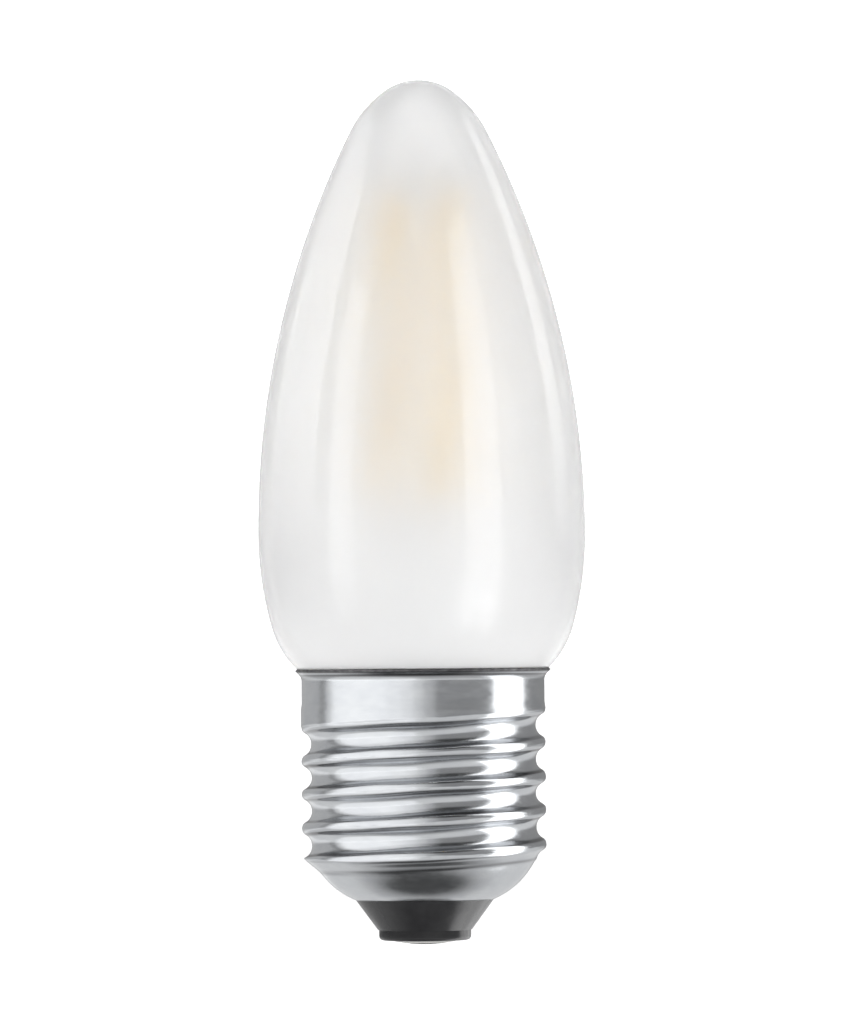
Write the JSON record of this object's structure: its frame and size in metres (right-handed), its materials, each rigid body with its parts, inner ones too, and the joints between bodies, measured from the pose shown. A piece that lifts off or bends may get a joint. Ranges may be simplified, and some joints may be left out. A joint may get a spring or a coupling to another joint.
{
  "type": "candle bulb",
  "caption": "Frosted glass candle bulb on a screw cap, with light strips on a glass stem and their driver board inside the cap.",
  "frame": {"origin": "lowest point of the centre contact, on the axis of the bulb, where the lampholder's spring touches it", "axes": "+Z along the axis of the bulb from the contact to the glass tip, -Y towards the viewer of the picture"},
  "size_m": [0.035, 0.035, 0.0925],
  "materials": {
    "frosted_glass": "frosted with a glossy outside",
    "clear_glass": "clear",
    "nickel_shell": "bright nickel plate",
    "black_glass": "opaque black, glossy",
    "contact_metal": "bright, lightly worn",
    "cement": "dry, grainy",
    "phosphor": "matt silicone with phosphor",
    "tab_metal": "satin",
    "wire": "drawn wire",
    "copper": "tinned copper wire",
    "board": "solder resist",
    "capacitor_sleeve": "shrink sleeve",
    "ferrite": "sintered",
    "black_resin": "moulded resin",
    "resistor_film": "glazed film",
    "resistor_lacquer": "lacquer"
  },
  "bodies": {
    "root": {"cement_ring": "cement", "centre_contact": "contact_metal", "chip_resistor_1": "resistor_film", "chip_resistor_2": "resistor_film", "choke": "ferrite", "driver_board": "board", "driver_chip": "black_resin", "filament_1": "phosphor", "filament_1_lower_tab": "tab_metal", "filament_1_upper_tab": "tab_metal", "filament_2": "phosphor", "filament_2_lower_tab": "tab_metal", "filament_2_upper_tab": "tab_metal", "filament_3": "phosphor", "filament_3_lower_tab": "tab_metal", "filament_3_upper_tab": "tab_metal", "filament_4": "phosphor", "filament_4_lower_tab": "tab_metal", "filament_4_upper_tab": "tab_metal", "fuse_resistor": "resistor_lacquer", "glass_bulb": "frosted_glass", "glass_stem": "clear_glass", "insulator": "black_glass", "lead_wire_left": "wire", "lead_wire_right": "wire", "live_wire": "copper", "lower_cross_wire_left": "wire", "lower_cross_wire_right": "wire", "neutral_wire": "copper", "rectifier": "black_resin", "screw_shell": "nickel_shell", "smoothing_capacitor": "capacitor_sleeve", "upper_cross_wire_1": "wire", "upper_cross_wire_2": "wire"}
  },
  "joints": []
}
